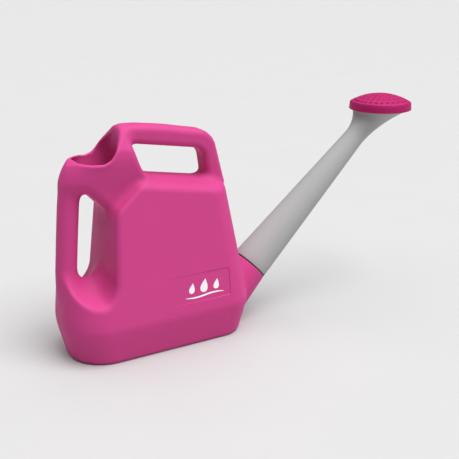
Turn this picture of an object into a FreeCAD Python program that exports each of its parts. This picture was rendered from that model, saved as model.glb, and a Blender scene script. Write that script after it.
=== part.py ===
"""Blow-moulded watering can with a push-on spout and a round rose.

Millimetres, +Z up. The origin is the centre of the tank's flat base. +X runs towards the spout,
and the can is a mirror image of itself about the plane y = 0.
"""
import FreeCAD, Part
import math
import os

Vec = FreeCAD.Vector
UP = Vec(0, 0, 1)

# ---- driving dimensions ------------------------------------------------------------------------
WALL = 2.6                  # moulded wall of the can
REAR_X = -117.6             # rear of the tank at its widest level, before its slight bow
REAR_BOW = 2.0
BELT_Z = 48.0               # level of the widest section, where the lower taper starts
BELT_HALF = 60.0            # half width at the belt
TOP_HALF = 40.0             # half width at the shoulder
TOP_Z = 214.0               # level at which TOP_HALF is measured
FOOT_HALF = 52.5            # half width just above the rounded foot
FOOT_R = 4.5                # height of the rounded foot
FOOT_REAR = 9.5             # how far the taper brings in the rear and the front by then
FOOT_FRONT = 8.2
FOOT_TUCK = 3.0             # how far the rounded foot draws in from there to the base
BLOCK_TOP = 134.0           # top of the low block that holds the hand pocket
BLOCK_LEAN = 5.5            # how far the block's rear leans forward by then
BELT_FRONT = 136.6          # front wall at the belt
FRONT_LEAN = 0.159          # how far the front wall leans back per millimetre of height
SHOULDER_Z = 227.0          # height of the shoulder above the origin
SHOULDER_FALL = 0.172       # fall of the shoulder per millimetre towards the front
BACK_X = -60.0              # rear wall of the upper tank at its lower end, at the sides
BACK_LEAN = 0.097           # how far that wall leans forward per millimetre of height
BACK_BOW = 13.0             # how far that wall bows out backwards in the middle
UPPER_LOW = BELT_Z + 12     # level at which the upper tank starts, inside the low block
UPPER_HIGH = SHOULDER_Z + 25    # level it reaches before the shoulder is cut

# plan corners, as rear radius, front radius
BASE_CORNERS = (42, 25)
FOOT_CORNERS = (45, 28)
BELT_CORNERS = (50, 33)
BLOCK_CORNERS = (42, 28)
UPPER_LOW_CORNERS = (14, 34)
UPPER_HIGH_CORNERS = (12, 26)

GRIP_R = 13.3               # radius of the rear grip
GRIP_LINE = ((-103.8, 75), (-105.8, 92), (-105.8, 112), (-103.6, 140), (-100.1, 177),
             (-96.5, 210), (-91.5, 233), (-86.0, 246))  # x, z along its centre line
# outlines of the hand pocket, as x, z points: where it is widest, and in the plane y = 0
POCKET_HALF = 75.0
POCKET_SIDE = ((-150, 150), (-124, 114), (-104, 88), (-80, 80), (-62, 88), (-52, 106), (-40, 240),
               (-150, 240))
POCKET_MID = ((-150, 175), (-120, 138), (-102, 112), (-84, 105), (-75, 110), (-71, 124), (-59.5, 240),
              (-150, 240))
# slanting cut at the upper rear corner of each side panel, as x, z points, and where it starts in y
CORNER_CUT = ((-90, 180), (-46, 196), (-8, 222), (-2, 245), (-90, 245))
CORNER_CUT_Y = 36.0
CORNER_CUT_DEEP = 64.0

BAR_HALF_WIDE = 16.0        # top handle, half width
BAR_EDGE_R = 8.0            # rounding of its long edges
BAR_START = (-22.0, 272.2, 292.4)   # x and the two levels of its rear end, inside the collar
BAR_CREST = (33.0, 288.6)   # x, z on its slightly arched top
BAR_CORNER = (98.0, 276.3)  # where the top would meet the front of the leg
BAR_CORNER_R = 17.0
LEG_FOOT = (89.8, 115.8, 205.0)     # rear x, front x and level of the leg's end, inside the tank
GAP_CORNER = (82.6, 254.9)  # where the handle's underside would meet the rear of the leg
GAP_CORNER_R = 11.0

# the mouth's edge, as x, z points: low at the rear, sweeping up to the top handle
LIP_EDGE = ((-130, 255.8), (-70, 255.0), (-58, 255.3), (-50, 259.8), (-44.4, 266.9), (-39.6, 274.6),
            (-35.6, 281.0), (-33.0, 287.0), (-31.0, 294.0))
SKY = 340.0                 # any level clear above the can

# outlines of the collar: level, rear x, front x, half width, rear corner radius, front corner radius
COLLAR = (
    (188, -51.0, 24.0, 25.0, 14, 14),
    (218, -79.0, 6.0, 27.0, 18, 10),
    (223, -101.5, 3.0, 27.6, 24, 9),
    (233, -98.6, -3.0, 29.5, 25, 8),
    (245.5, -93.0, -10.5, 31.8, 25, 7),
    (256, -86.0, -15.0, 32.6, 25, 7),
    (268, -81.0, -19.0, 31.5, 20, 7),
    (275, -79.0, -20.5, 27.3, 20, 7),
    (281, -78.0, -21.0, 22.6, 18, 7),
    (286, -77.0, -20.0, 17.6, 15, 6),
    (291, -76.0, -20.0, 11.0, 9, 5),
)
# the same for the opening inside it
THROAT = (
    (186, -47.0, 20.0, 21.5, 12, 12),
    (220, -76.0, -14.0, 24.3, 16, 12),
    (226, -96.5, -21.0, 25.0, 21, 12),
    (245.5, -90.0, -30.0, 28.8, 22, 12),
    (262, -81.0, -32.0, 29.6, 22, 12),
    (268, -80.0, -32.0, 28.2, 22, 12),
    (274.6, -79.0, -32.0, 23.8, 20, 12),
    (281, -78.0, -32.0, 18.6, 16, 12),
    (286, -77.0, -32.0, 12.4, 10, 10),
    (289.5, -76.0, -32.0, 6.0, 5, 5),
)

SPOUT_ANGLE = 43.0          # elevation of the spout's axis, degrees
NECK_END = Vec(161.0, 0, 74.5)  # centre of the neck's rim
NECK_R = 27.0               # neck at its rim, outside
NECK_ROOT_R = 33.0          # neck inside the tank wall, outside
NECK_LEN = 62.0             # from the rim back into the tank
NECK_WALL = 3.2
SPIGOT_LEN = 34.0           # the spout's plug inside the neck
SPIGOT_PLAY = 0.3           # radial clearance of the plug
SPOUT_WALL = 2.2
SPOUT_LEN = 241.0           # straight taper, from the gasket to the bell
SPOUT_TIP_R = 14.6          # outside radius at the end of the taper
GASKET = 1.6                # thickness of both sealing rings
GASKET_INSET = 0.4          # how far the spout's ring stays inside the neck's outside
GASKET_PLAY = 0.1           # radial clearance between that ring and the plug's bore
TAPER_STEP = 3.0            # extra wall at the foot of the spout's taper
PAST = 4.0                  # how far cutting tools run past the face they cut
# stations of the flared bell: how far behind the rose's axis, level, outside radius, elevation
BELL_ROOT = (12.0, 15.4, 9.0)   # distance past the taper, radius and extra elevation
BELL = ((30.0, 260.0, 21.0, 72), (9.5, 271.0, 36.5, 86))

ROSE_X = 385.5              # axis of the rose
ROSE_Z = 278.5              # lower edge of its skirt
ROSE_R = 45.5
ROSE_SKIRT = 10.5           # height of the skirt
ROSE_DOME = 12.0            # rise of the perforated dome above the skirt
ROSE_WALL = 2.0
RIM_PLAY = 0.3              # radial clearance between the bell's rim and the skirt
RIM_HIGH = 5.0              # height of the bell's rim inside the skirt
RIM_START = 1.0             # level at which the rim starts, above the skirt's lower edge
RING_SEAT = 3.0             # radial width of the rose's ring and of its seat
SKIRT_EDGE = 1.5            # rounding of the skirt's upper edge
ROSE_HOLE_R = 0.7
ROSE_RINGS = 5              # rings of holes around the middle one
ROSE_RING_STEP = 7.4
DRILL_LEN = 40.0            # any length that passes the whole dome

RIM_R = ROSE_R - ROSE_WALL - RIM_PLAY   # outside of the bell's rim
axis_angle = math.radians(SPOUT_ANGLE)
SPOUT_DIR = Vec(math.cos(axis_angle), 0, math.sin(axis_angle))


# ---- helpers -----------------------------------------------------------------------------------
def arc(a, b, c):
    return Part.Arc(Vec(*a), Vec(*b), Vec(*c)).toShape()


def line(a, b):
    return Part.makeLine(Vec(*a), Vec(*b))


def plan_wire(z, x_rear, x_front, half, r_rear, r_front, bow):
    """Rounded outline in a horizontal plane, with a rear edge bowed out by `bow`."""
    k = math.sqrt(0.5)
    xr = x_rear + r_rear
    xf = x_front - r_front
    yr = half - r_rear
    yf = half - r_front
    edges = [
        line((x_front, -yf, z), (x_front, yf, z)),
        arc((x_front, yf, z), (xf + k * r_front, yf + k * r_front, z), (xf, half, z)),
        line((xf, half, z), (xr, half, z)),
        arc((xr, half, z), (xr - k * r_rear, yr + k * r_rear, z), (x_rear, yr, z)),
        arc((x_rear, yr, z), (x_rear - bow, 0, z), (x_rear, -yr, z)),
        arc((x_rear, -yr, z), (xr - k * r_rear, -yr - k * r_rear, z), (xr, -half, z)),
        line((xr, -half, z), (xf, -half, z)),
        arc((xf, -half, z), (xf + k * r_front, -yf - k * r_front, z), (x_front, -yf, z)),
    ]
    return Part.Wire(edges)


def plan_loft(sections, inset=0.0):
    """Solid through plan outlines, each moved inwards by `inset`."""
    wires = []
    for z, x_rear, x_front, half, r_rear, r_front, bow in sections:
        outline = (z, x_rear + inset, x_front - inset, half - inset, r_rear - inset, r_front - inset, bow)
        wires.append(plan_wire(*outline))
    return Part.makeLoft(wires, True, True)


def prism(points, half):
    """Side outline in the plane y = 0, given as x, z points, extruded to both sides."""
    corners = [Vec(x, -half, z) for x, z in points]
    corners.append(corners[0])
    return Part.Face(Part.makePolygon(corners)).extrude(Vec(0, 2 * half, 0))


def tilted_circle(centre, radius, elevation):
    """Circle about an axis in the plane y = 0, always starting on its +Y side."""
    a = math.radians(elevation)
    across = Vec(-math.sin(a), 0, math.cos(a))
    side = Vec(0, radius, 0)
    top = centre + across * radius
    low = centre - across * radius
    return Part.Wire([Part.Arc(centre + side, top, centre - side).toShape(),
                      Part.Arc(centre - side, low, centre + side).toShape()])


def union(shapes):
    return shapes[0].fuse(shapes[1:]).removeSplitter()


def front_x(z):
    return BELT_FRONT - FRONT_LEAN * (z - BELT_Z)


def half_width(z):
    return BELT_HALF + (TOP_HALF - BELT_HALF) * (z - BELT_Z) / (TOP_Z - BELT_Z)


def on_spout(distance):
    return NECK_END + SPOUT_DIR * distance


# ---- the can -----------------------------------------------------------------------------------
def lower_tank(inset=0.0):
    """Base, lower taper and belt, up to the top of the hand pocket."""
    top, tuck = BLOCK_TOP, FOOT_TUCK
    rear, front = REAR_X + FOOT_REAR, BELT_FRONT - FOOT_FRONT
    sections = [
        (inset, rear + tuck, front - tuck, FOOT_HALF - tuck, *BASE_CORNERS, REAR_BOW),
        (FOOT_R + inset, rear, front, FOOT_HALF, *FOOT_CORNERS, REAR_BOW),
        (BELT_Z, REAR_X, BELT_FRONT, BELT_HALF, *BELT_CORNERS, REAR_BOW),
        (top - inset, REAR_X + BLOCK_LEAN, front_x(top), half_width(top), *BLOCK_CORNERS, REAR_BOW),
    ]
    return plan_loft(sections, inset)


def upper_tank(inset=0.0):
    low, high = UPPER_LOW, UPPER_HIGH
    back_high = BACK_X + BACK_LEAN * (high - low)
    sections = [
        (low, BACK_X, front_x(low), half_width(low), *UPPER_LOW_CORNERS, BACK_BOW),
        (high, back_high, front_x(high), half_width(high), *UPPER_HIGH_CORNERS, BACK_BOW),
    ]
    block = plan_loft(sections, inset)
    far = 400.0
    drop = inset + SHOULDER_FALL * far
    above = prism([(-far, SHOULDER_Z + SHOULDER_FALL * far - inset), (far, SHOULDER_Z - drop),
                   (far, far), (-far, far)], far)
    return block.cut(above)


def pocket():
    """Space for the hand around the rear grip, cut from both sides; its floor falls outwards."""
    tools = []
    for y in (-POCKET_HALF, POCKET_HALF):
        outer = Part.makePolygon([Vec(x, y, z) for x, z in POCKET_SIDE + POCKET_SIDE[:1]])
        inner = Part.makePolygon([Vec(x, 0, z) for x, z in POCKET_MID + POCKET_MID[:1]])
        tools.append(Part.makeLoft([inner, outer], True, True))
    return tools


def grip(inset=0.0):
    """Rear grip: a round bar that leans forward towards its top."""
    rings = [tilted_circle(Vec(x, 0, z), GRIP_R - inset, 90) for x, z in GRIP_LINE]
    return Part.makeLoft(rings, True, False)


def collar():
    """Flared collar that carries the mouth and joins both handles to the tank."""
    solid = plan_loft([section + (REAR_BOW,) for section in COLLAR])
    above_lip = list(LIP_EDGE) + [(LIP_EDGE[-1][0], SKY), (LIP_EDGE[0][0], SKY)]
    return solid.cut(prism(above_lip, BELT_HALF))


def throat():
    return plan_loft([section + (REAR_BOW,) for section in THROAT])


def y_edges_at(shape, x, z):
    """Edges parallel to Y through the point x, z."""
    found = []
    for edge in shape.Edges:
        box = edge.BoundBox
        near = abs(box.XMin - x) + abs(box.XMax - x) + abs(box.ZMin - z) + abs(box.ZMax - z) < 0.1
        if near and box.YMax - box.YMin > 1:
            found.append(edge)
    return found


def handle_outline():
    """Side outline of the top handle and its front leg, in the plane y = 0, corners rounded."""
    x0, low, high = BAR_START
    rear_x, front_x0, foot_z = LEG_FOOT
    start, crest = (x0, 0, high), (BAR_CREST[0], 0, BAR_CREST[1])
    corner, gap = (BAR_CORNER[0], 0, BAR_CORNER[1]), (GAP_CORNER[0], 0, GAP_CORNER[1])
    foot_front, foot_rear = (front_x0, 0, foot_z), (rear_x, 0, foot_z)
    sharp = Part.Wire([line((x0, 0, low), start), arc(start, crest, corner), line(corner, foot_front),
                       line(foot_front, foot_rear), line(foot_rear, gap), line(gap, (x0, 0, low))])
    block = Part.Face(sharp).extrude(Vec(0, BAR_HALF_WIDE, 0))
    block = block.makeFillet(BAR_CORNER_R, y_edges_at(block, *BAR_CORNER))
    block = block.makeFillet(GAP_CORNER_R, y_edges_at(block, *GAP_CORNER))
    for face in block.Faces:
        if face.BoundBox.YMax < 0.01:
            return face.OuterWire


def top_bar(inset=0.0):
    """Top handle and its front leg: the side outline given a width and rounded long edges."""
    outline = handle_outline()
    if inset:
        outline = outline.makeOffset2D(-inset)
    half = BAR_HALF_WIDE - inset
    solid = Part.Face(outline).extrude(Vec(0, 2 * half, 0))
    solid.translate(Vec(0, -half, 0))
    rear_x = outline.BoundBox.XMin
    foot_z = outline.BoundBox.ZMin
    long_edges = []
    for edge in solid.Edges:
        box = edge.BoundBox
        on_side = box.YMax - box.YMin < 0.01
        on_end = box.XMax < rear_x + 0.1 or box.ZMax < foot_z + 0.1
        if on_side and not on_end:
            long_edges.append(edge)
    return solid.makeFillet(BAR_EDGE_R - inset, long_edges)


def neck():
    return Part.makeCone(NECK_ROOT_R, NECK_R, NECK_LEN, on_spout(-NECK_LEN), SPOUT_DIR)


def rear_corner_cut():
    """Slanting edge at the upper rear corner of each side panel, outside the collar's flank."""
    tools = []
    for side in (-1, 1):
        block = prism(CORNER_CUT, CORNER_CUT_DEEP / 2)
        block.translate(Vec(0, side * (CORNER_CUT_Y + CORNER_CUT_DEEP / 2), 0))
        tools.append(block)
    return tools


def grown(tool):
    """A cutting tool made larger by the wall, for cutting the tank's inside."""
    return tool.makeOffsetShape(WALL, 0.01, join=2)


def can_body():
    tank = union([lower_tank().cut(pocket()), upper_tank()]).cut(rear_corner_cut())
    outside = union([tank, collar(), grip(), top_bar(), neck()])
    low = lower_tank(WALL).cut([grown(tool) for tool in pocket()])
    inner_tank = union([low, upper_tank(WALL)]).cut([grown(tool) for tool in rear_corner_cut()])
    inside = union([inner_tank, throat(), grip(WALL), top_bar(WALL)])
    bore = Part.makeCylinder(NECK_R - NECK_WALL, NECK_LEN + PAST, on_spout(-NECK_LEN), SPOUT_DIR)
    return outside.cut([inside, bore])


# ---- spout and rose ----------------------------------------------------------------------------
def ring(radius, hole, height, base, direction):
    disc = Part.makeCylinder(radius, height, base, direction)
    return disc.cut(Part.makeCylinder(hole, height + 2, base - direction, direction))


def spout_gasket():
    return ring(NECK_R - GASKET_INSET, NECK_R - NECK_WALL + GASKET_PLAY, GASKET, NECK_END, SPOUT_DIR)


def bell_sections(inset):
    """Circles that turn from the spout's axis to the rose's upright axis."""
    end = GASKET + SPOUT_LEN
    past, root_r, turn = BELL_ROOT
    circles = [
        tilted_circle(on_spout(end), SPOUT_TIP_R - inset, SPOUT_ANGLE),
        tilted_circle(on_spout(end + past), root_r - inset, SPOUT_ANGLE + turn),
    ]
    for behind, level, radius, elevation in BELL:
        circles.append(tilted_circle(Vec(ROSE_X - behind, 0, level), radius - inset, elevation))
    circles.append(tilted_circle(Vec(ROSE_X, 0, ROSE_Z + RIM_START), RIM_R - inset, 90))
    return circles


def spout_tube():
    foot = on_spout(GASKET)
    spigot_r = NECK_R - NECK_WALL - SPIGOT_PLAY
    top = Vec(ROSE_X, 0, ROSE_Z + RIM_START)
    plug_end = foot - SPOUT_DIR * (SPIGOT_LEN + GASKET)
    outer = union([
        Part.makeCylinder(spigot_r, SPIGOT_LEN + GASKET, plug_end, SPOUT_DIR),
        Part.makeCone(NECK_R, SPOUT_TIP_R, SPOUT_LEN, foot, SPOUT_DIR),
        Part.makeLoft(bell_sections(0), True, False),
        Part.makeCylinder(RIM_R, RIM_HIGH - RIM_START, top, UP),
    ])
    past_end = foot - SPOUT_DIR * (SPIGOT_LEN + PAST)
    taper_start = foot + SPOUT_DIR * PAST / 2
    wide_r = NECK_R - TAPER_STEP - SPOUT_WALL
    inner = union([
        Part.makeCylinder(spigot_r - SPOUT_WALL, SPIGOT_LEN + 2 * PAST, past_end, SPOUT_DIR),
        Part.makeCone(wide_r, SPOUT_TIP_R - SPOUT_WALL, SPOUT_LEN - PAST / 2, taper_start, SPOUT_DIR),
        Part.makeLoft(bell_sections(SPOUT_WALL), True, False),
        Part.makeCylinder(RIM_R - SPOUT_WALL, RIM_HIGH + PAST, top, UP),
    ])
    return outer.cut(inner)


def rose_gasket():
    return ring(RIM_R, RIM_R - RING_SEAT, GASKET, Vec(ROSE_X, 0, ROSE_Z + RIM_HIGH), UP)


def dome(rise, radius, base_z):
    """Spherical cap of the given rise over a circle of the given radius."""
    ball = (radius * radius + rise * rise) / (2 * rise)
    centre = Vec(ROSE_X, 0, base_z + rise - ball)
    cap = Part.makeSphere(ball, centre)
    keep = Part.makeCylinder(radius, rise + 1, Vec(ROSE_X, 0, base_z), UP)
    return cap.common(keep)


def rose_cap():
    """Skirt and dome in one piece, with rings of fine holes and a seat for the gasket."""
    top_z = ROSE_Z + ROSE_SKIRT
    skirt = Part.makeCylinder(ROSE_R, ROSE_SKIRT, Vec(ROSE_X, 0, ROSE_Z), UP)
    skirt = skirt.makeFillet(SKIRT_EDGE, [e for e in skirt.Edges if e.BoundBox.ZMin > top_z - 0.01])
    outer = union([skirt, dome(ROSE_DOME, ROSE_R - SKIRT_EDGE, top_z)])
    seat_z = ROSE_Z + RIM_HIGH + GASKET
    inner_r = ROSE_R - ROSE_WALL
    hollow = Part.makeCylinder(inner_r, seat_z - ROSE_Z + 1, Vec(ROSE_X, 0, ROSE_Z - 1), UP)
    chamber_r = inner_r - RING_SEAT
    chamber = Part.makeCylinder(chamber_r, top_z - seat_z + 2, Vec(ROSE_X, 0, seat_z - 1), UP)
    vault = dome(ROSE_DOME - ROSE_WALL, chamber_r, top_z)
    cap = outer.cut(union([hollow, chamber, vault]))
    drills = [Part.makeCylinder(ROSE_HOLE_R, DRILL_LEN, Vec(ROSE_X, 0, ROSE_Z), UP)]
    for i in range(1, ROSE_RINGS + 1):
        count = 6 * i
        for k in range(count):
            a = 2 * math.pi * (k + 0.5 * (i % 2)) / count
            x = ROSE_X + i * ROSE_RING_STEP * math.cos(a)
            y = i * ROSE_RING_STEP * math.sin(a)
            drills.append(Part.makeCylinder(ROSE_HOLE_R, DRILL_LEN, Vec(x, y, ROSE_Z), UP))
    return cap.cut(Part.makeCompound(drills))


# ---- files -------------------------------------------------------------------------------------
NODES = {
    "can_body": can_body,
    "spout_gasket": spout_gasket,
    "spout_tube": spout_tube,
    "rose_gasket": rose_gasket,
    "rose_cap": rose_cap,
}

os.makedirs("parts", exist_ok=True)
for name, make in NODES.items():
    shape = make()
    print(name, "valid", shape.isValid(), "solids", len(shape.Solids), "cm3", round(shape.Volume / 1000, 1))
    shape.exportStep("parts/" + name + ".step")
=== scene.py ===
"""The looks of the watering can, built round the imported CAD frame. Blender works in metres; the
can's own shape is worked out in millimetres, in the same frame, and scaled when its mesh is made."""
import math

import bmesh
import bpy
import numpy as np
import openvdb
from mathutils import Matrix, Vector
from mathutils.geometry import delaunay_2d_cdt


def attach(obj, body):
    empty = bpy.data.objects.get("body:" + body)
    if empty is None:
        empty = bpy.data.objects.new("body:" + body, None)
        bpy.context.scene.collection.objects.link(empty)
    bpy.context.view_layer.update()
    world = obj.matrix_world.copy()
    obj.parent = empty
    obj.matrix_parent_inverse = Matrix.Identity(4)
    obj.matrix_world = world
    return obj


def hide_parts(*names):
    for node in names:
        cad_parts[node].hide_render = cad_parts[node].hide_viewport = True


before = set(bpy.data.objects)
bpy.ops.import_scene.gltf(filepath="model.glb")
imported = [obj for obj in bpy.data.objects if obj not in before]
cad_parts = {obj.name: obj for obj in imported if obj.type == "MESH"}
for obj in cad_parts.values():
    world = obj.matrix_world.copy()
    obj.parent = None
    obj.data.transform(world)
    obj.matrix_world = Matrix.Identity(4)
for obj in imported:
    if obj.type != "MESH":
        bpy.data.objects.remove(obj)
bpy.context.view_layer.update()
MM = 0.001


# ---- the can: driving dimensions, millimetres ----------------------------------------------------
# A name that ends in _SCALE turns a height, or a length along X, into distance from a slanting face.
WALL = 3.4               # drawn wall, thicker than the mesh's step so that both its faces are kept
BELT_Z = 48.0            # widest level, where the lower taper starts
BELT_HALF = 60.0
FOOT_HALF = 51.5         # half width that the taper reaches at the floor
SIDE_LEAN = 0.120        # how far each side leans in per millimetre above the belt
BELT_FRONT = 136.6
FRONT_LEAN = 0.161
FRONT_TUCK = 0.19        # taper of the front below the belt
BELT_REAR = -119.6
REAR_TUCK = 0.21
REAR_LEAN = 0.065        # lean of the rear end above the belt
BELT_SOFT = (1.6, 2.0, 4.0)   # fillet of the belt at the sides, the front and the rear
REAR_R = 50.0            # plan radius of the rear end
FRONT_R = 33.0           # plan radius of the front corners at the belt
FRONT_R_FALL = 0.02      # how much smaller it gets per millimetre above the belt
FOOT_R = 4.5             # radius between the walls and the flat base
SHOULDER = (229.4, 0.172, 0.0052)   # height over the origin, fall per mm forwards, crown across
SHOULDER_SCALE = 0.95
SHOULDER_R = 6.0
DIAGONAL = (-40.0, 203.0, 19.0, 23.0)   # slanting cut by the collar: x and z on it, rise and run
DIAGONAL_LEN = 29.8      # length of that rise and run together
DIAGONAL_R = 5.0

BACK = (-57.0, 0.085, 112.0)        # rear edge of the side panel: x, lean, and the level it is given at
BACK_BOW = 4.0           # how much further back the panel's edge stands in the middle plane
OVERRUN = 1.2            # the bow and the label's slope carry on to this share of their span
POCKET_LOW = 80.0        # lowest level of the hand pocket's rim, on the side
POCKET_MID = 103.0       # level of its floor in the middle plane
POCKET_X = -81.0         # where the floor is lowest along x
POCKET_DISH = 0.016      # how fast it rises from there
POCKET_SCALE = 0.8
POCKET_R = 14.0          # fillet between floor and wall
SADDLE_HALF = 27.0       # half width of the raised middle of the floor
RIM_R = 6.0              # rounding of the pocket's edge

GRIP_R = 13.3
GRIP_ACROSS = 0.93       # y is scaled by this, which makes the grip wider than it is thick
GRIP_LOW, GRIP_HIGH = 52.0, 250.0
GRIP_LINE = [(55, -99.0), (75, -103.8), (92, -105.8), (112, -105.8), (140, -103.6), (177, -100.1),
             (210, -96.5), (221, -94.8), (233, -91.5), (246, -86.0), (256, -79.0)]    # level, x
LABEL = (53.0, 82.5, 45.0, 18.5)    # shallow recess in each side: centre x and z, half length, half height
LABEL_CORNER_R = 3.0
LABEL_FLOOR_R = 0.4
LABEL_EDGE_R = 0.5
LABEL_DEPTH = 0.8        # at its front end; it runs out to nothing at the rear
LIP_FLARE = 1.6          # how far the collar flares outwards just under its lip
LIP_FLARE_DEEP = 5.5
LIP_R = 2.2              # outer rounding of the lip
BAR_HALF = 16.0          # half width of the top handle and its front leg
BAR_EDGE = 8.5           # rounding of their edges
BAR_REAR_X = -30.0       # where the handle starts, inside the collar
LEG_FOOT_Z = 205.0       # how far down the leg goes, inside the tank
BAR_SCALE = 0.985
LEG_SCALE = 0.978
GAP_TOP_SCALE = 0.987
GAP_FRONT_SCALE = 0.99
BAR_TOP = [(-40, 283.0), (-32, 288.4), (-26, 291.9), (-20, 293.7), (-12, 294.0), (11.6, 291.6),
           (33, 288.6), (60, 283.4), (87, 278.4), (112, 273.4)]    # x, level
BAR_CORNER_R = 17.0      # front top corner of the handle
GAP_FRONT_R = 11.0       # rounding of the gap's upper and lower front corners
GAP_FLOOR_R = 14.0
GAP_FLOOR_DROP = 4.5     # how far the gap's floor lies under the shoulder's line
GAP_TOP = (264.0, -0.1655, 27.5)    # level, slope along x, and the x it is given at
LEG_FRONT = (103.6, -0.255, 252.7)  # x, slope along z, and the level it is given at
LEG_REAR = (84.2, -0.143, 244.0)
SPOUT_ANGLE = 43.0       # of the spout's axis over the horizontal, degrees
NECK_END = (161.0, 74.5)            # x and z of the middle of the neck's rim
NECK_R = 27.0
NECK_GROW = 0.10         # how much the neck widens per millimetre back from its rim
NECK_EDGE_R = 0.8
NECK_LEN = 66.0
NECK_BORE = 23.8
BORE_LEN = 62.0
LIP = [(-100, 256.0), (-90, 255.8), (-70, 255.0), (-58, 255.3), (-50, 259.8), (-44.4, 266.9),
       (-39.6, 274.6), (-35.6, 281.0), (-33.0, 287.0), (-31.0, 294.0), (-29.0, 301.0)]    # x, level

# the collar outside and the throat inside it, as (level, value) pairs
COLLAR_REAR = [(205, -103), (222, -103.5), (233, -100.6), (245.5, -95), (256, -88), (262, -84),
               (300, -80)]
COLLAR_FRONT = [(186, 26), (205, 17), (228, 0.5), (245, -10.5), (262, -17), (275, -21), (300, -25)]
COLLAR_HALF = [(186, 24), (205, 25.5), (222, 27.5), (240, 31), (250, 32.8), (262, 33), (268, 31.8),
               (274.6, 27.6), (281, 22.6), (286, 17.6), (291, 11), (297, 7)]
COLLAR_FOOT = (222.5, -80.0, 219.5)     # level of its underside; x and level where that turns down
THROAT_REAR = [(205, -96), (222, -100), (233, -97.6), (245.5, -92.2), (256, -85.2), (262, -81),
               (300, -77)]
THROAT_FRONT = [(186, 20), (205, 0), (228, -22), (245, -30), (262, -32), (300, -32)]
THROAT_HALF = [(186, 21), (205, 22.5), (222, 24.5), (240, 28), (250, 29.6), (262, 29.8), (268, 28.4),
               (274.6, 24), (281, 18.8), (286, 12.6), (289, 6), (291, 1.0)]
THROAT_FOOT = (227.0, -76.0, 224.0)
THROAT_TOP = 291.0
UNDERSIDE_SLOPE = 1.09   # fall of both undersides per millimetre forwards
UNDERSIDE_LEN = 1.48     # length of that slope per millimetre forwards
COLLAR_TRIM = 0.4        # taken off the collar's half width, which the flare gives back at the lip
COLLAR_R = (25.0, 8.0)   # plan radius of its rear and its front corners
COLLAR_TOP_R = 7.0
COLLAR_TURN = 9.0        # softness where its underside turns down
COLLAR_LOW_R = 12.0
THROAT_R = (23.0, 12.0)
THROAT_TURN = 10.0
THROAT_LOW_R = 5.0

# fillets where one part of the can runs into another
COLLAR_SOFT = 12.0
GRIP_SOFT = (4.0, 10.0, -120.0, 14.0)   # first value, change, the x where that starts, its length
BAR_SOFT = (13.0, -6.0, 92.0, 16.0)
NECK_SOFT = 7.0
THROAT_SOFT = 9.0
BORE_SOFT = 3.0
RECESS_INSIDE_R = 2.0
OPENING_R = 1.0


def blend_min(a, b, k):
    """Union of two fields with a soft fillet of about k."""
    h = np.clip(0.5 + 0.5 * (b - a) / k, 0.0, 1.0)
    return b + (a - b) * h - k * h * (1.0 - h)


def blend_max(a, b, k):
    return -blend_min(-a, -b, k)


def round_max(a, b, r):
    """Intersection of two fields whose edge is a circular arc of radius r."""
    return np.minimum(np.maximum(a, b), -r) + np.hypot(np.maximum(a + r, 0.0), np.maximum(b + r, 0.0))


def smooth_step(t):
    t = np.clip(t, 0.0, 1.0)
    return t * t * (3.0 - 2.0 * t)


def through(z, points):
    """Smooth value through (level, value) pairs, flat beyond both ends."""
    levels = np.array([p[0] for p in points], float)
    values = np.array([p[1] for p in points], float)
    slopes = np.gradient(values, levels)
    zc = np.clip(z, levels[0], levels[-1])
    i = np.clip(np.searchsorted(levels, zc, side="right") - 1, 0, len(levels) - 2)
    step = levels[i + 1] - levels[i]
    t = (zc - levels[i]) / step
    a = values[i] * (1 + 2 * t) * (1 - t) ** 2 + values[i + 1] * t * t * (3 - 2 * t)
    return a + step * (slopes[i] * t * (1 - t) ** 2 + slopes[i + 1] * t * t * (t - 1))


def plan(x, y, rear, front, half, r_rear, r_front):
    """Field of a rounded outline in the horizontal plane; every size may change with height."""
    middle = 0.5 * (rear + front)
    r = np.where(x < middle, r_rear, r_front)
    qx = np.abs(x - middle) - (0.5 * (front - rear) - r)
    qy = y - (half - r)
    return np.hypot(np.maximum(qx, 0), np.maximum(qy, 0)) + np.minimum(np.maximum(qx, qy), 0) - r


def half_width(z):
    above = BELT_HALF - SIDE_LEAN * (z - BELT_Z)
    below = FOOT_HALF + (BELT_HALF - FOOT_HALF) * z / BELT_Z
    return blend_min(above, below, BELT_SOFT[0])


def front_x(z):
    above = BELT_FRONT - FRONT_LEAN * (z - BELT_Z)
    below = BELT_FRONT - FRONT_TUCK * (BELT_Z - z)
    return blend_min(above, below, BELT_SOFT[1])


def rear_x(z):
    below = BELT_REAR + REAR_TUCK * (BELT_Z - z)
    return blend_max(BELT_REAR + REAR_LEAN * (z - BELT_Z), below, BELT_SOFT[2])


def pocket(x, y, z):
    """Space for the hand, open to the rear and both sides: above its floor and behind the tank."""
    side = BACK[0] + BACK[1] * (z - BACK[2])
    half = half_width(z)
    across = np.minimum(y / half, OVERRUN)
    wall = side - BACK_BOW * (1 - across ** 2)
    steep = np.sqrt(1 + (2 * BACK_BOW * across / half) ** 2 + BACK[1] ** 2)
    saddle = np.exp(-(y / SADDLE_HALF) ** 2)
    floor = POCKET_LOW + (POCKET_MID - POCKET_LOW) * saddle + POCKET_DISH * (x - POCKET_X) ** 2
    return round_max((floor - z) * POCKET_SCALE, (x - wall) / steep, POCKET_R)


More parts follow.
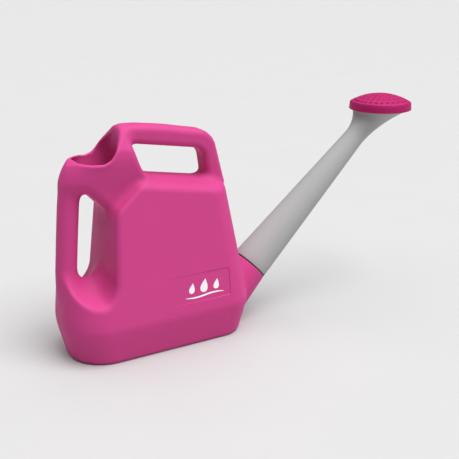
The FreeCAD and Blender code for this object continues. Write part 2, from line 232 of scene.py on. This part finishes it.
def tank(x, y, z):
    base = plan(x, y, rear_x(z), front_x(z), half_width(z), REAR_R, FRONT_R - FRONT_R_FALL * (z - BELT_Z))
    body = round_max(base, -z, FOOT_R)
    top = z - (SHOULDER[0] - SHOULDER[1] * x - SHOULDER[2] * y * y)
    body = round_max(body, top * SHOULDER_SCALE, SHOULDER_R)
    at_x, at_z, rise, run = DIAGONAL
    diagonal = ((z - at_z) * run - (x - at_x) * rise) / DIAGONAL_LEN
    body = round_max(body, diagonal, DIAGONAL_R)
    return round_max(body, -pocket(x, y, z), RIM_R)


def label_floor(x, z):
    """Half width of the can at the floor of the label recess."""
    front_share = (x - LABEL[0] + LABEL[2]) / (2 * LABEL[2])
    return half_width(z) - LABEL_DEPTH * np.clip(front_share, 0.0, OVERRUN)


def label_recess(x, y, z):
    outline = round_max(np.abs(x - LABEL[0]) - LABEL[2], np.abs(z - LABEL[1]) - LABEL[3], LABEL_CORNER_R)
    return round_max(outline, label_floor(x, z) - y, LABEL_FLOOR_R)


def grip(x, y, z):
    d = np.hypot(x - through(z, GRIP_LINE), y * GRIP_ACROSS) - GRIP_R
    return np.maximum(d, np.maximum(GRIP_LOW - z, z - GRIP_HIGH))


def underside(x, z, foot, softness):
    """Lower edge of the collar or the throat: flat at the rear, then slanting down forwards."""
    flat_z, turn_x, turn_z = foot
    slant = -(z - turn_z + UNDERSIDE_SLOPE * (x - turn_x)) / UNDERSIDE_LEN
    return blend_min(flat_z - z, slant, softness)


def collar(x, y, z):
    """Flared funnel round the mouth, closing in an arch where it meets the top handle."""
    depth = np.maximum(-lip_cut(x, z), 0.0)
    half = through(z, COLLAR_HALF) - COLLAR_TRIM + LIP_FLARE * np.exp(-(depth / LIP_FLARE_DEEP) ** 2)
    body = plan(x, y, through(z, COLLAR_REAR), through(z, COLLAR_FRONT), half, *COLLAR_R)
    body = round_max(body, z - through(x, BAR_TOP), COLLAR_TOP_R)
    return round_max(body, underside(x, z, COLLAR_FOOT, COLLAR_TURN), COLLAR_LOW_R)


def throat(x, y, z):
    """Inside of the collar: the mouth, opening out into the tank below."""
    half = through(z, THROAT_HALF)
    front_r = np.minimum(THROAT_R[1], half)
    body = plan(x, y, through(z, THROAT_REAR), through(z, THROAT_FRONT), half, THROAT_R[0], front_r)
    body = np.maximum(body, z - THROAT_TOP)
    return round_max(body, underside(x, z, THROAT_FOOT, THROAT_TURN), THROAT_LOW_R)


def lip_cut(x, z):
    """Above the mouth's edge: low at the rear, sweeping up to the top handle."""
    slope = through(x + 0.5, LIP) - through(x - 0.5, LIP)
    return (z - through(x, LIP)) / np.sqrt(1 + slope * slope)


def top_bar(x, y, z):
    """Top handle and front leg: an outline in the middle plane, less the hand gap, given a width."""
    rise = through(x, BAR_TOP)
    front = (x - LEG_FRONT[0] - LEG_FRONT[1] * (z - LEG_FRONT[2])) * LEG_SCALE
    outline = round_max((z - rise) * BAR_SCALE, front, BAR_CORNER_R)
    outline = np.maximum(outline, np.maximum(BAR_REAR_X - x, LEG_FOOT_Z - z))
    gap_top = (z - GAP_TOP[0] - GAP_TOP[1] * (x - GAP_TOP[2])) * GAP_TOP_SCALE
    gap_front = (x - LEG_REAR[0] - LEG_REAR[1] * (z - LEG_REAR[2])) * GAP_FRONT_SCALE
    gap_floor = (SHOULDER[0] - GAP_FLOOR_DROP - SHOULDER[1] * x - z) * BAR_SCALE
    gap = round_max(round_max(gap_top, gap_front, GAP_FRONT_R), gap_floor, GAP_FLOOR_R)
    return round_max(np.maximum(outline, -gap), y - BAR_HALF, BAR_EDGE)


def along_spout(x, y, z):
    """Distance along the spout's axis from the neck's rim, and distance from that axis."""
    c, s = math.cos(math.radians(SPOUT_ANGLE)), math.sin(math.radians(SPOUT_ANGLE))
    dx, dz = x - NECK_END[0], z - NECK_END[1]
    return dx * c + dz * s, np.hypot(dz * c - dx * s, y)


def soft_along(x, first, change, start, length):
    """Fillet that changes along x, from its first value by an amount, over a length."""
    return first + change * smooth_step((x - start) / length)


def can_outside(x, y, z):
    """All of the can's outside: tank, collar, both handles and neck, less the label recess."""
    s, r = along_spout(x, y, z)
    neck = round_max(r - (NECK_R - NECK_GROW * np.minimum(s, 0)), s, NECK_EDGE_R)
    neck = np.maximum(neck, -s - NECK_LEN)
    body = blend_min(tank(x, y, z), collar(x, y, z), COLLAR_SOFT)
    body = blend_min(body, grip(x, y, z), soft_along(x, *GRIP_SOFT))
    body = blend_min(body, top_bar(x, y, z), soft_along(x, *BAR_SOFT))
    body = blend_min(body, neck, NECK_SOFT)
    return round_max(body, -label_recess(x, y, z), LABEL_EDGE_R)


def can_field(x, y, z):
    """The whole moulding: outside, less the tank's inside, the mouth and the neck's bore."""
    s, r = along_spout(x, y, z)
    bore = np.maximum(r - NECK_BORE, -s - BORE_LEN)
    inside = blend_min(tank(x, y, z) + WALL, throat(x, y, z), THROAT_SOFT)
    inside = blend_min(inside, bore, BORE_SOFT)
    inside = round_max(inside, WALL - label_recess(x, y, z), RECESS_INSIDE_R)
    body = round_max(can_outside(x, y, z), lip_cut(x, z), LIP_R)
    return round_max(body, -inside, OPENING_R)


# ---- meshes --------------------------------------------------------------------------------------
def make_object(name, verts, faces, material, smooth=True):
    """Mesh object from vertices in millimetres."""
    mesh = bpy.data.meshes.new(name)
    mesh.from_pydata(np.asarray(verts, float) * MM, [], faces)
    mesh.validate()
    if smooth:
        mesh.shade_smooth()
    mesh.materials.append(material)
    thing = bpy.data.objects.new(name, mesh)
    bpy.context.scene.collection.objects.link(thing)
    return thing


def slope(field, p, step=0.05):
    """Gradient of a field at points p, by central differences."""
    g = np.empty_like(p)
    for axis in range(3):
        d = np.zeros(3)
        d[axis] = step
        a, b = p + d, p - d
        g[:, axis] = field(a[:, 0], np.abs(a[:, 1]), a[:, 2]) - field(b[:, 0], np.abs(b[:, 1]), b[:, 2])
    return g / (2 * step)


SETTLE_ROUNDS = 4
SLOPE_FLOOR = 0.2        # least square of a slope that a point's move is divided by
BAND = 3.0               # how many grid steps from the surface the field is kept
FINE_REACH = 0.3         # reach of the second settling, in grid steps
NORMAL_STEP = 0.12       # step of the slope that the normals are taken from, millimetres


def settle(field, p, reach):
    """Points moved onto the zero level of a field by Newton steps."""
    for _ in range(SETTLE_ROUNDS):
        g = slope(field, p)
        d = field(p[:, 0], np.abs(p[:, 1]), p[:, 2])
        move = np.clip(d / np.maximum((g * g).sum(1), SLOPE_FLOOR), -0.5 * reach, 0.5 * reach)
        p = p - move[:, None] * g
    return p


def refine(points, faces, near):
    """The same mesh with every face that has a vertex where near() holds cut into sixteen."""
    bm = bmesh.new()
    verts = [bm.verts.new(p) for p in points]
    for f in faces:
        bm.faces.new([verts[i] for i in f])
    close = near(points)
    bm.verts.index_update()
    edges = [e for e in bm.edges if close[e.verts[0].index] or close[e.verts[1].index]]
    bmesh.ops.subdivide_edges(bm, edges=edges, cuts=3, use_grid_fill=True)
    bmesh.ops.triangulate(bm, faces=[f for f in bm.faces if len(f.verts) > 4])
    bm.verts.index_update()
    points = np.array([v.co[:] for v in bm.verts])
    faces = [[v.index for v in f.verts] for f in bm.faces]
    bm.free()
    return points, faces


def field_mesh(name, field, low, high, step, material, fine):
    """Mesh of a mirror-symmetric field's zero level, with normals taken from the field itself."""
    x, z = (np.arange(low[i], high[i] + step, step) for i in (0, 2))
    y = np.arange(0.0, high[1] + step, step)
    half = field(x[:, None, None], y[None, :, None], z[None, None, :])
    whole = np.concatenate([half[:, :0:-1], half], axis=1)
    band = BAND * step
    grid = openvdb.FloatGrid(background=band)
    grid.copyFromArray(np.clip(whole, -band, band).astype(np.float32))
    points, tris, quads = grid.convertToPolygons(isovalue=0.0, adaptivity=0.0)
    start = np.array([x[0], -(len(y) - 1) * step, z[0]])
    p = points.astype(float) * step + start
    faces = tris.tolist() + quads.tolist()
    p = settle(field, p, step)
    p, faces = refine(p, faces, fine)
    p = settle(field, p, FINE_REACH * step)
    g = slope(field, p, NORMAL_STEP)
    normals = g / np.linalg.norm(g, axis=1, keepdims=True)
    thing = make_object(name, p, faces, material)
    thing.data.normals_split_custom_set_from_vertices(normals.tolist())
    return thing


def stitch(rings, count, closed):
    """Faces between rings of `count` vertices; a closed run joins its last ring to its first."""
    faces = []
    for r in range(rings if closed else rings - 1):
        a, b = r * count, (r + 1) % rings * count
        for i in range(count):
            j = (i + 1) % count
            faces.append((a + i, a + j, b + j, b + i))
    return faces


# ---- spout ---------------------------------------------------------------------------------------
SIDES = 96
SPOUT_WALL = 2.2
GASKET = 1.6
TAPER_LEN = 241.0
TIP_R = 14.6
SPIGOT_R = 23.5
SPIGOT_LEN = 34.0
ROSE_X = 385.5
ROSE_Z = 278.5
ROSE_R = 45.5
RIM_R_OUT = 43.2
RIM_TOP = 283.5
RIM_CLEAR = 0.1          # the drawn rim stops this far under the rose gasket
RIM_EDGE = (0.5, 0.4)    # bevels of the rim's outer and inner edges
SPIGOT_END = ((0.0, -1.2), (1.0, -0.3), (3.0, 0.0))     # distance from its end, change of its radius
FOOT_EDGE = 0.7          # rounding of the taper's edge at the gasket
FOOT_CORNER = (0.02, 0.3)           # the sharp corner there: step along the axis, step outwards
BELL_R = 40.0
BELL_TOP = 0.6           # how far under the rose's foot the bell's curve ends
BELL_PULL = (11.0, 24.0)            # how straight the upper and lower edges leave the taper
BELL_TURN = ((0.6, 11.0), (28.0, 10.5))                 # how they turn upright: along x and z
BELL_LEDGE = ((0.1, 40.9), (0.7, 42.4), (1.4, RIM_R_OUT))   # height over the rose's foot, radius
LEDGE_INSIDE = 1.2
INNER_STEP = 4.0         # where the inside of the taper ends, back from its foot
INNER_NARROW = 3.0
SPIGOT_BEVEL = (0.8, 0.6)           # of its inner edge: along the axis, outwards
TAPER_STEPS = 24
BELL_STEPS = (26, 20)    # outside, inside
BORE_STEPS = 8


def spout_point(s, off=0.0):
    """Point in the plane y = 0, s along the spout's axis from the neck's rim and off to its upper side."""
    c, k = math.cos(math.radians(SPOUT_ANGLE)), math.sin(math.radians(SPOUT_ANGLE))
    return np.array([NECK_END[0] + s * c - off * k, NECK_END[1] + s * k + off * c])


def bezier(p, t):
    return ((1 - t) ** 3 * p[0] + 3 * (1 - t) ** 2 * t * p[1] + 3 * (1 - t) * t * t * p[2] + t ** 3 * p[3])


def straight_station(s, r):
    return spout_point(s, r), spout_point(s, -r)


def upright_station(z, r):
    return np.array([ROSE_X - r, z]), np.array([ROSE_X + r, z])


def bell_stations(inset, count):
    """Pairs of upper and lower edge points of the bell, from the taper's end to the rim."""
    s = GASKET + TAPER_LEN
    r = TIP_R - inset
    along = spout_point(1.0) - spout_point(0.0)
    upper, lower = straight_station(s, r)
    top_up, top_low = upright_station(ROSE_Z - BELL_TOP, BELL_R - inset)
    high = [upper, upper + BELL_PULL[0] * along, top_up - np.array(BELL_TURN[0]), top_up]
    low = [lower, lower + BELL_PULL[1] * along, top_low - np.array(BELL_TURN[1]), top_low]
    stations = []
    for i in range(1, count + 1):
        t = i / count
        stations.append((bezier(high, t), bezier(low, t)))
    return stations


def spout_stations():
    """The whole section of the spout: up its outside, over the bell's rim and down its inside."""
    foot = GASKET
    edge = FOOT_EDGE
    back, out = FOOT_CORNER
    rim_top = RIM_TOP - RIM_CLEAR
    end = foot - SPIGOT_LEN - GASKET
    outer = [straight_station(end + ds, SPIGOT_R + dr) for ds, dr in SPIGOT_END]
    outer += [straight_station(foot - back, SPIGOT_R), straight_station(foot, SPIGOT_R + out)]
    outer += [straight_station(foot, NECK_R - edge - out)]
    for i in range(5):
        a = 0.5 * math.pi * i / 4
        outer.append(straight_station(foot + edge * (1 - math.cos(a)), NECK_R - edge * (1 - math.sin(a))))
    for i in range(1, TAPER_STEPS + 1):
        t = i / TAPER_STEPS
        outer.append(straight_station(foot + 1 + (TAPER_LEN - 1) * t, NECK_R + (TIP_R - NECK_R) * t))
    outer += bell_stations(0.0, BELL_STEPS[0])
    outer += [upright_station(ROSE_Z + up, r) for up, r in BELL_LEDGE]
    outer += [upright_station(rim_top - RIM_EDGE[0], RIM_R_OUT),
              upright_station(rim_top, RIM_R_OUT - RIM_EDGE[0]),
              upright_station(rim_top, RIM_R_OUT - SPOUT_WALL + RIM_EDGE[1]),
              upright_station(rim_top - RIM_EDGE[1], RIM_R_OUT - SPOUT_WALL)]
    inner = [upright_station(ROSE_Z + LEDGE_INSIDE, RIM_R_OUT - SPOUT_WALL)]
    inner += bell_stations(SPOUT_WALL, BELL_STEPS[1])[::-1]
    for i in range(BORE_STEPS + 1):
        t = i / BORE_STEPS
        r = TIP_R + (NECK_R - INNER_NARROW - TIP_R) * t - SPOUT_WALL
        inner.append(straight_station(foot + TAPER_LEN * (1 - t) + INNER_STEP * t, r))
    inner += [straight_station(foot - INNER_STEP, SPIGOT_R - SPOUT_WALL),
              straight_station(end + SPIGOT_BEVEL[0], SPIGOT_R - SPOUT_WALL),
              straight_station(end, SPIGOT_R - SPOUT_WALL + SPIGOT_BEVEL[1])]
    return outer + inner


def make_spout(material):
    stations = spout_stations()
    verts = []
    for upper, lower in stations:
        centre, arm = 0.5 * (upper + lower), 0.5 * (upper - lower)
        r = np.hypot(*arm)
        for i in range(SIDES):
            a = 2 * math.pi * i / SIDES
            flat = centre + arm * math.cos(a)
            verts.append((flat[0], r * math.sin(a), flat[1]))
    return make_object("spout_skin", verts, stitch(len(stations), SIDES, True), material)


# ---- rose ----------------------------------------------------------------------------------------
ROSE_SKIRT = 10.5
ROSE_DOME = 12.0
ROSE_WALL = 2.0
SEAT_WIDTH = 3.0         # radial width of the rose gasket
HOLE_R = 0.70
HOLE_RINGS = 5
RING_STEP = 7.4
HOLE_SIDES = 10
DOME_R = 44.0            # where the dome meets the rounded edge of the skirt
DOME_SIDES = 144
OUTER_RING = (0.95, 72)  # share of the radius where a last ring of points lies, and their count
HOLE_MARGIN = 0.9        # triangles with their middle nearer than this share of a hole's radius go
SQUEEZE_FROM = 0.8       # the inside is drawn in beyond this share of its radius,
SQUEEZE_OVER = 0.2       # over this share of it, so that its rim meets the gasket's seat
ROSE_EDGE_R = 1.5        # rounding between dome and skirt
ROSE_TOP_IN = 0.8        # how much narrower the skirt is at its top
SKIRT_FOOT = ((-0.1, 1.0), (-0.3, 0.3), (-0.9, 0.0))    # change of radius, height over its foot
SKIRT_BEVEL = 0.4        # of its inner lower edge


def dome_z(r, rise, radius, base):
    ball = (radius * radius + rise * rise) / (2 * rise)
    return base + rise - ball + np.sqrt(ball * ball - r * r)


def hole_centres():
    centres = [(0.0, 0.0)]
    for ring in range(1, HOLE_RINGS + 1):
        count = 6 * ring
        for k in range(count):
            a = 2 * math.pi * (k + 0.5 * (ring % 2)) / count
            centres.append((ring * RING_STEP * math.cos(a), ring * RING_STEP * math.sin(a)))
    return centres


def rose_plate(radius, count):
    """Flat triangulated disc with its holes: points, triangles, the rim's loop and the holes' loops."""
    points, edges, loops = [], [], []

    def add_loop(cx, cy, r, n):
        first = len(points)
        for i in range(n):
            a = 2 * math.pi * i / n
            points.append(Vector((cx + r * math.cos(a), cy + r * math.sin(a))))
            edges.append((first + i, first + (i + 1) % n))
        return list(range(first, first + n))

    rim = add_loop(0.0, 0.0, radius, count)
    centres = hole_centres()
    for cx, cy in centres:
        loops.append(add_loop(cx, cy, HOLE_R, HOLE_SIDES))
    for ring in range(1, HOLE_RINGS + 1):
        r = (ring - 0.5) * RING_STEP
        n = 10 * ring
        for k in range(n):
            a = 2 * math.pi * k / n
            points.append(Vector((r * math.cos(a), r * math.sin(a))))
    share, n = OUTER_RING
    for k in range(n):
        a = 2 * math.pi * k / n
        points.append(Vector((share * radius * math.cos(a), share * radius * math.sin(a))))
    verts, _, tris, origin, _, _ = delaunay_2d_cdt(points, edges, [], 0, 1e-6)
    where = {}
    for new, olds in enumerate(origin):
        for old in olds:
            where[old] = new
    flat = np.array([(v.x, v.y) for v in verts])
    middle = flat[np.array([t[:] for t in tris])].mean(axis=1)
    gap = np.min([np.hypot(middle[:, 0] - cx, middle[:, 1] - cy) for cx, cy in centres], axis=0)
    solid = (gap > HOLE_MARGIN * HOLE_R) & (np.hypot(middle[:, 0], middle[:, 1]) < radius)
    kept = [tuple(t) for t, keep in zip(tris, solid) if keep]
    return flat, kept, [where[i] for i in rim], [[where[i] for i in loop] for loop in loops]


def make_rose(material):
    """Perforated dome and skirt as one closed mesh, with the seat for its gasket inside."""
    count = DOME_SIDES
    flat, tris, rim, loops = rose_plate(DOME_R, count)
    n = len(flat)
    r = np.hypot(flat[:, 0], flat[:, 1])
    top_z = ROSE_Z + ROSE_SKIRT
    chamber = ROSE_R - ROSE_WALL - SEAT_WIDTH
    outer_z = dome_z(r, ROSE_DOME, DOME_R, top_z)
    squeeze = chamber / DOME_R
    near_edge = np.clip((r - SQUEEZE_FROM * chamber) / (SQUEEZE_OVER * chamber), 0, 1)
    scale = 1 + (squeeze - 1) * near_edge
    inner_z = dome_z(np.minimum(r * scale, chamber), ROSE_DOME - ROSE_WALL, chamber, top_z)
    verts = np.vstack([np.c_[flat, outer_z], np.c_[flat * scale[:, None], inner_z]])
    faces = list(tris) + [(c + n, b + n, a + n) for a, b, c in tris]
    for loop in loops:
        m = len(loop)
        for i in range(m):
            a, b = loop[i], loop[(i + 1) % m]
            faces.append((b, a, a + n, b + n))
    edge = ROSE_EDGE_R
    top_r = ROSE_R - ROSE_TOP_IN
    profile = []
    for i in range(1, 5):
        a = 0.5 * math.pi * i / 4
        profile.append((top_r - edge * (1 - math.sin(a)), top_z - edge * (1 - math.cos(a))))
    profile += [(ROSE_R + dr, ROSE_Z + up) for dr, up in SKIRT_FOOT]
    inner_r = ROSE_R - ROSE_WALL
    seat = RIM_TOP + GASKET
    profile += [(inner_r + SKIRT_BEVEL, ROSE_Z), (inner_r, ROSE_Z + SKIRT_BEVEL)]
    profile += [(inner_r, seat), (chamber, seat)]
    angles = 2 * math.pi * np.arange(count) / count
    rings = []
    for pr, pz in profile:
        rings.append(np.c_[pr * np.cos(angles), pr * np.sin(angles), np.full(count, pz)])
    base = len(verts)
    verts = np.vstack([verts] + rings)
    loop_ids = [rim] + [list(range(base + k * count, base + (k + 1) * count)) for k in range(len(rings))]
    loop_ids.append([i + n for i in rim])
    for up, down in zip(loop_ids[:-1], loop_ids[1:]):
        for i in range(count):
            j = (i + 1) % count
            faces.append((up[j], up[i], down[i], down[j]))
    verts = verts + np.array([ROSE_X, 0, 0])
    return make_object("rose_skin", verts, faces, material)


# ---- materials -----------------------------------------------------------------------------------
# Noise scales are per metre, bump distances are in metres and colours are linear.
class Nodes:
    """Short hand for one material's node tree."""

    def __init__(self, name):
        self.material = bpy.data.materials.new(name)
        self.material.use_nodes = True
        self.tree = self.material.node_tree
        self.shader = self.tree.nodes["Principled BSDF"]
        self.place = self.tree.nodes.new("ShaderNodeTexCoord").outputs["Object"]

    def new(self, kind, **values):
        node = self.tree.nodes.new(kind)
        for key, value in values.items():
            if hasattr(node, key):
                setattr(node, key, value)
            else:
                node.inputs[key.replace("_", " ").title()].default_value = value
        return node

    def join(self, a, b):
        self.tree.links.new(a, b)

    def noise(self, scale, detail=3.0, rough=0.55):
        node = self.new("ShaderNodeTexNoise", scale=scale, detail=detail, roughness=rough)
        self.join(self.place, node.inputs["Vector"])
        return node.outputs["Fac"]

    def math(self, operation, a, b=0.0, c=0.0):
        node = self.new("ShaderNodeMath", operation=operation)
        for socket, value in zip(node.inputs, (a, b, c)):
            if isinstance(value, (int, float)):
                socket.default_value = value
            else:
                self.join(value, socket)
        return node.outputs[0]

    def remap(self, value, low, high, to_low, to_high):
        node = self.new("ShaderNodeMapRange")
        self.join(value, node.inputs["Value"])
        for key, number in (("From Min", low), ("From Max", high), ("To Min", to_low), ("To Max", to_high)):
            node.inputs[key].default_value = number
        return node.outputs["Result"]

    def mix(self, factor, a, b):
        node = self.new("ShaderNodeMix", data_type="RGBA")
        for socket, value in ((node.inputs["Factor"], factor), (node.inputs[6], a), (node.inputs[7], b)):
            if isinstance(value, tuple):
                socket.default_value = (*value, 1.0)
            else:
                self.join(value, socket)
        return node.outputs[2]

    def bump(self, height, strength, distance, below=None):
        node = self.new("ShaderNodeBump", strength=strength, distance=distance)
        self.join(height, node.inputs["Height"])
        if below is not None:
            self.join(below, node.inputs["Normal"])
        return node.outputs["Normal"]

    def set(self, name, value):
        socket = self.shader.inputs[name]
        if isinstance(value, (int, float)):
            socket.default_value = value
        else:
            self.join(value, socket)


def moulded_plastic(name, colour, deep, pale, rough, parting_line):
    """Pigmented moulding: fine spark texture, slow waviness, slight colour drift, paler worn edges."""
    n = Nodes(name)
    drift = n.remap(n.noise(scale=14.0, detail=2.0), 0.3, 0.7, 0.0, 1.0)
    tint = n.mix(n.math("MULTIPLY", drift, 0.35), colour, deep)
    edge = n.new("ShaderNodeNewGeometry").outputs["Pointiness"]
    wear = n.remap(edge, 0.53, 0.60, 0.0, 0.35)
    wear = n.math("MULTIPLY", wear, n.remap(n.noise(scale=120.0, detail=4.0), 0.4, 0.65, 0.2, 1.0))
    n.set("Base Color", n.mix(wear, tint, pale))
    smear = n.remap(n.noise(scale=38.0, detail=5.0, rough=0.6), 0.3, 0.7, rough - 0.05, rough + 0.07)
    n.set("Roughness", smear)
    grain = n.bump(n.noise(scale=1500.0, detail=2.0), strength=0.10, distance=0.0002)
    slow = n.bump(n.noise(scale=22.0, detail=1.0), strength=0.35, distance=0.0012, below=grain)
    if parting_line:
        axes = n.new("ShaderNodeSeparateXYZ")
        n.join(n.place, axes.inputs[0])
        ridge = n.remap(n.math("ABSOLUTE", axes.outputs["Y"]), 0.0001, 0.0006, 1.0, 0.0)
        slow = n.bump(ridge, strength=0.5, distance=0.00025, below=slow)
    n.set("Normal", slow)
    n.set("IOR", 1.50)
    n.set("Specular IOR Level", 0.10)
    return n.material


def rubber(name):
    n = Nodes(name)
    dust = n.noise(scale=300.0, detail=3.0)
    n.set("Base Color", n.mix(dust, (0.020, 0.020, 0.022), (0.045, 0.044, 0.046)))
    n.set("Roughness", n.remap(n.noise(scale=500.0, detail=2.0), 0.3, 0.7, 0.55, 0.75))
    n.set("Normal", n.bump(n.noise(scale=1800.0, detail=2.0), strength=0.2, distance=0.0001))
    return n.material


def printed_ink(name):
    n = Nodes(name)
    n.set("Base Color", n.mix(n.noise(scale=400.0, detail=4.0), (0.88, 0.86, 0.87), (0.95, 0.95, 0.95)))
    n.set("Roughness", n.remap(n.noise(scale=900.0, detail=3.0), 0.3, 0.7, 0.35, 0.5))
    n.set("Normal", n.bump(n.noise(scale=1600.0, detail=2.0), strength=0.1, distance=0.00005))
    return n.material


def studio_paper():
    n = Nodes("studio_paper")
    n.set("Base Color", n.mix(n.noise(scale=6.0, detail=2.0), (0.50, 0.50, 0.50), (0.52, 0.52, 0.52)))
    n.set("Roughness", 0.9)
    n.set("Normal", n.bump(n.noise(scale=900.0, detail=2.0), strength=0.05, distance=0.0002))
    return n.material


PINK = (0.585, 0.058, 0.240)
PINK_DEEP = (0.555, 0.050, 0.222)
PINK_PALE = (0.720, 0.110, 0.350)
ROSE = (0.430, 0.014, 0.125)
ROSE_DEEP = (0.390, 0.012, 0.110)
GREY = (0.395, 0.396, 0.397)
GREY_DEEP = (0.365, 0.366, 0.368)
GREY_PALE = (0.450, 0.450, 0.450)

can_plastic = moulded_plastic("can_plastic_look", PINK, PINK_DEEP, PINK_PALE, 0.48, True)
rose_plastic = moulded_plastic("rose_plastic_look", ROSE, ROSE_DEEP, PINK_PALE, 0.45, False)
spout_plastic = moulded_plastic("spout_plastic_look", GREY, GREY_DEEP, GREY_PALE, 0.50, True)
seal_rubber = rubber("seal_rubber_look")
white_ink = printed_ink("mark_ink_look")


# ---- mark ----------------------------------------------------------------------------------------
MARK_CENTRE = (60.0, 80.5)
MARK_THICK = 0.16
MARK_SINK = 0.15         # how far the ink goes into the wall
DROPS = ((-18.0, 2.4, 5.6), (0.0, 3.6, 7.4), (18.0, 2.4, 5.6))     # place from the centre, and size
DROP_LEAN = 0.25
DROP_POINTS = 48
DROP_TAPER = 1.4         # how sharply a drop narrows towards its point
DROP_STRETCH = 1.25
WAVE_BELOW = 9.6
WAVE_HALF = 28.0
WAVE_RISE = 1.2
WAVE_THICK = 2.2
WAVE_STEPS = 40
WAVE_END = 0.02          # square of the share of its thickness that is left at its ends


def drop_outline(cx, cz, size, lean):
    """Outline of a falling drop: a circle drawn out to a point, leaning by an angle."""
    points = []
    for i in range(DROP_POINTS):
        a = 2 * math.pi * i / DROP_POINTS
        u = size * math.sin(a) * (math.sin(0.5 * a) ** DROP_TAPER)
        v = size * math.cos(a) * DROP_STRETCH
        x = cx + u * math.cos(lean) + v * math.sin(lean)
        z = cz - u * math.sin(lean) + v * math.cos(lean)
        points.append((x, z))
    return points


def stroke_outline(cx, cz, half, rise, thick):
    """Outline of a shallow wave, thinner at its ends."""
    upper, lower = [], []
    for i in range(WAVE_STEPS + 1):
        t = 2 * i / WAVE_STEPS - 1
        mid = cz + rise * math.sin(math.pi * t)
        w = 0.5 * thick * math.sqrt(max(1 - t * t, WAVE_END))
        upper.append((cx + half * t, mid + w))
        lower.append((cx + half * t, mid - w))
    return upper + lower[::-1]


def make_mark(material):
    """Plain white emblem printed in the label recess: three drops over a wave."""
    cx, cz = MARK_CENTRE
    outlines = [drop_outline(cx + dx, cz + dz, size, DROP_LEAN) for dx, dz, size in DROPS]
    outlines.append(stroke_outline(cx, cz - WAVE_BELOW, WAVE_HALF, WAVE_RISE, WAVE_THICK))
    verts, faces = [], []
    for outline in outlines:
        first, n = len(verts), len(outline)
        for lift in (MARK_THICK, -MARK_SINK):
            for x, z in outline:
                y = -(float(label_floor(np.float64(x), np.float64(z))) + lift)
                verts.append((x, y, z))
        faces.append(list(range(first, first + n)))
        faces.append(list(range(first + 2 * n - 1, first + n - 1, -1)))
        for i in range(n):
            j = (i + 1) % n
            faces.append((first + j, first + i, first + n + i, first + n + j))
    return make_object("mark_ink", verts, faces, material, smooth=False)


# ---- the object ----------------------------------------------------------------------------------
VOXEL = 2.3      # step of the grid that the can is meshed on
FIELD_LOW = (-126.0, 0.0, -5.0)         # corners of that grid
FIELD_HIGH = (184.0, 66.0, 300.0)
LABEL_NEAR = 1.2        # how near the recess's outline the mesh is cut finer
SIDE_FROM = 50.0        # the distance from the middle plane where the sides begin


def near_label_edge(p):
    """Where the mesh is cut finer: along the edge of the label recess on both sides."""
    outline = np.maximum(np.abs(p[:, 0] - LABEL[0]) - LABEL[2], np.abs(p[:, 2] - LABEL[1]) - LABEL[3])
    return (np.abs(outline) < LABEL_NEAR) & (np.abs(p[:, 1]) > SIDE_FROM)


can = field_mesh("can_skin", can_field, FIELD_LOW, FIELD_HIGH, VOXEL, can_plastic, near_label_edge)
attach(can, "can")
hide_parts("can_body")

mark = make_mark(white_ink)
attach(mark, "can")

spout = make_spout(spout_plastic)
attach(spout, "spout")
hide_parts("spout_tube")

rose = make_rose(rose_plastic)
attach(rose, "rose")
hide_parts("rose_cap")

for node in ("spout_gasket", "rose_gasket"):
    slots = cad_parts[node].data.materials
    slots.clear()
    slots.append(seal_rubber)


# ---- studio --------------------------------------------------------------------------------------
FLOOR_HALF = 30.0
CAMERA_PLACE = (-0.375, -0.884, 0.478)
CAMERA_DIP = 18.75       # how far it looks down, degrees
CAMERA_TURN = 29.7       # how far it is turned from +Y towards +X, degrees
LENS = 60.86
SENSOR = 36.0
WORLD_STRENGTH = 0.14
KEY_SUN = (32.0, 62.0, 45.0, 2.75)      # azimuth, elevation, angular size, strength
TOP_SUN = (180.0, 86.0, 80.0, 2.2)


def backdrop():
    """Plain pale floor, wide enough to fill the picture."""
    half = FLOOR_HALF
    mesh = bpy.data.meshes.new("floor")
    corners = [(-half, -half, 0.0), (half, -half, 0.0), (half, half, 0.0), (-half, half, 0.0)]
    mesh.from_pydata(corners, [], [(0, 1, 2, 3)])
    mesh.materials.append(studio_paper())
    floor = bpy.data.objects.new("floor", mesh)
    bpy.context.scene.collection.objects.link(floor)


def soft_sun(name, azimuth, elevation, angle, strength):
    """Soft distant light. At azimuth 0 it comes from -Y, at 90 from +X; angles are in degrees."""
    data = bpy.data.lights.new(name, "SUN")
    data.angle = math.radians(angle)
    data.energy = strength
    lamp = bpy.data.objects.new(name, data)
    a, e = math.radians(azimuth), math.radians(elevation)
    towards = Vector((math.sin(a) * math.cos(e), -math.cos(a) * math.cos(e), math.sin(e)))
    lamp.rotation_mode = "QUATERNION"
    lamp.rotation_quaternion = towards.to_track_quat("Z", "Y")
    bpy.context.scene.collection.objects.link(lamp)


def studio():
    world = bpy.data.worlds.new("studio")
    world.use_nodes = True
    sky = world.node_tree.nodes["Background"]
    sky.inputs["Color"].default_value = (1.0, 1.0, 1.0, 1.0)
    sky.inputs["Strength"].default_value = WORLD_STRENGTH
    bpy.context.scene.world = world
    bpy.context.scene.view_settings.view_transform = "Standard"
    soft_sun("key", *KEY_SUN)
    soft_sun("top", *TOP_SUN)


def camera():
    data = bpy.data.cameras.new("camera")
    data.sensor_width = SENSOR
    data.lens = LENS
    view = bpy.data.objects.new("camera", data)
    view.location = CAMERA_PLACE
    view.rotation_euler = (math.radians(90.0 - CAMERA_DIP), 0.0, math.radians(-CAMERA_TURN))
    bpy.context.scene.collection.objects.link(view)
    bpy.context.scene.camera = view


backdrop()
studio()
camera()
